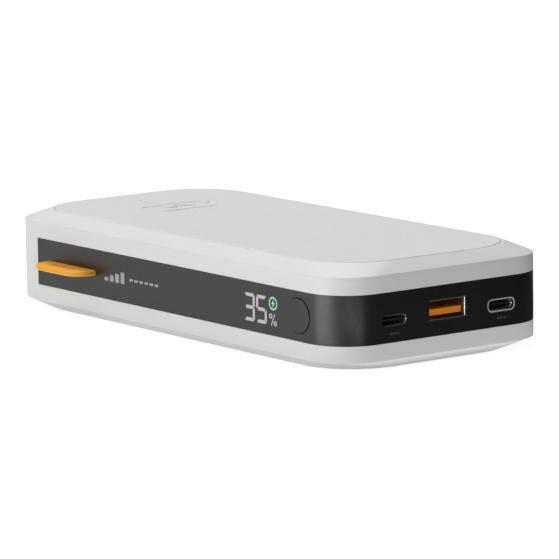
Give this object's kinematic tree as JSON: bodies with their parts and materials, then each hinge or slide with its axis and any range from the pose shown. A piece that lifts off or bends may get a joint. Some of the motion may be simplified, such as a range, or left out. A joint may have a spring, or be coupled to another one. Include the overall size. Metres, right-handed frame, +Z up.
{
  "type": "power bank",
  "caption": "Flat white pocket power bank with sloped edges, a dark wrap-round band with a lit display, a round button, USB ports and an orange pull tab.",
  "frame": {"origin": "centre of the body's underside, on the surface it rests on", "axes": "+X towards the end with the ports, -Y towards the display and button, +Z up"},
  "size_m": [0.16, 0.0824, 0.0294],
  "materials": {
    "white_shell": "fine matt texture",
    "white_panel": "smooth satin",
    "adhesive": "translucent film",
    "dark_band": "satin",
    "dark_button": "satin",
    "display_white": "lit clear inlay",
    "display_green": "lit clear inlay",
    "black_moulding": "moulded",
    "satin_metal": "satin",
    "orange_rubber": "soft matt",
    "circuit_board": "solder mask",
    "ribbon": "polyimide film",
    "port_steel": "plated",
    "orange_moulding": "moulded",
    "contact_gold": "gold plated",
    "ferrite": "moulded ferrite",
    "capacitor_can": "bare can",
    "chip_black": "moulded",
    "cell_foil": "laminate foil",
    "foam": "closed-cell foam",
    "nickel": "nickel",
    "lead_red": "wire insulation",
    "lead_black": "wire insulation",
    "screw_steel": "zinc plated"
  },
  "bodies": {
    "case": {"board_screws": "screw_steel", "bottom_panel": "white_panel", "bottom_panel_adhesive": "adhesive", "case_screws": "screw_steel", "cell_terminals": "nickel", "charge_icon": "display_green", "controller_chips": "chip_black", "dark_band": "dark_band", "display_digits": "display_white", "display_module": "black_moulding", "display_ribbon": "ribbon", "lower_cell": "cell_foil", "lower_foam_pad": "foam", "lower_shell": "white_shell", "main_board": "circuit_board", "middle_foam_pad": "foam", "negative_lead": "lead_black", "output_capacitors": "capacitor_can", "positive_lead": "lead_red", "power_inductors": "ferrite", "power_transistors": "chip_black", "protection_board": "circuit_board", "pull_tab": "orange_rubber", "ribbon_sockets": "black_moulding", "side_board": "circuit_board", "switch_body": "black_moulding", "top_panel": "white_panel", "top_panel_adhesive": "adhesive", "upper_cell": "cell_foil", "upper_foam_pad": "foam", "upper_shell": "white_shell", "usb_a_contacts": "contact_gold", "usb_a_shell": "port_steel", "usb_a_tongue": "orange_moulding", "usb_c_left_contacts": "contact_gold", "usb_c_left_shell": "port_steel", "usb_c_left_tongue": "black_moulding", "usb_c_right_contacts": "contact_gold", "usb_c_right_shell": "port_steel", "usb_c_right_tongue": "black_moulding", "usb_c_trim_ring": "satin_metal"},
    "button": {"power_button": "dark_button"},
    "plunger": {"switch_plunger": "black_moulding"}
  },
  "joints": [
    {"name": "button_press", "type": "slide", "parent": "case", "child": "button", "axis": [0, 1, 0], "range_m": [0, 0.0003], "stiffness_N_per_m": 5000},
    {"name": "plunger_press", "type": "slide", "parent": "case", "child": "plunger", "axis": [0, 1, 0], "range_m": [0, 0.0003]}
  ],
  "couplings": [
    {"joint": "plunger_press", "follows": "button_press", "ratio": 1}
  ]
}
